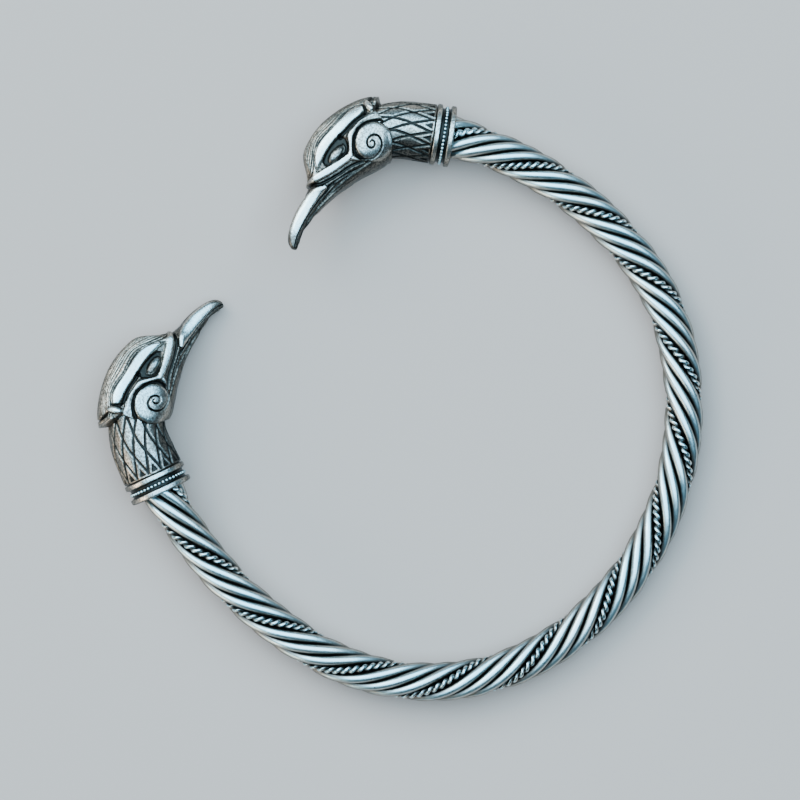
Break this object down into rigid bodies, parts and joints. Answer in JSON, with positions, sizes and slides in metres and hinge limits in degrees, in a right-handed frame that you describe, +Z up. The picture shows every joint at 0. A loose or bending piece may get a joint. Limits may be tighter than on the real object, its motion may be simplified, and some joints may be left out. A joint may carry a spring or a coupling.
{
  "type": "viking arm ring",
  "caption": "Open arm ring of smooth and roped wires twisted round a core, with a cast bird's head and collar on each end facing across the opening.",
  "frame": {"origin": "middle of the loop, on the surface that the ring lies on", "axes": "+Z up out of the surface, +Y out through the opening between the beaks, +X to the right head's side"},
  "size_m": [0.0699, 0.0687, 0.0087],
  "materials": {
    "cast_silver": "antiqued cast silver, bright on the raised relief and black in the recesses",
    "silver_wire": "smooth drawn silver wire, dark between the wires",
    "rope_wire": "fine roped silver wire with blackened hollows",
    "dark_core": "blackened silver wire"
  },
  "bodies": {
    "root": {"right_head": "cast_silver", "left_head": "cast_silver", "plain_wire_1": "silver_wire", "plain_wire_2": "silver_wire", "plain_wire_3": "silver_wire", "plain_wire_4": "silver_wire", "plain_wire_5": "silver_wire", "plain_wire_6": "silver_wire", "rope_wire_1": "rope_wire", "rope_wire_2": "rope_wire", "core_wire": "dark_core"}
  },
  "joints": []
}
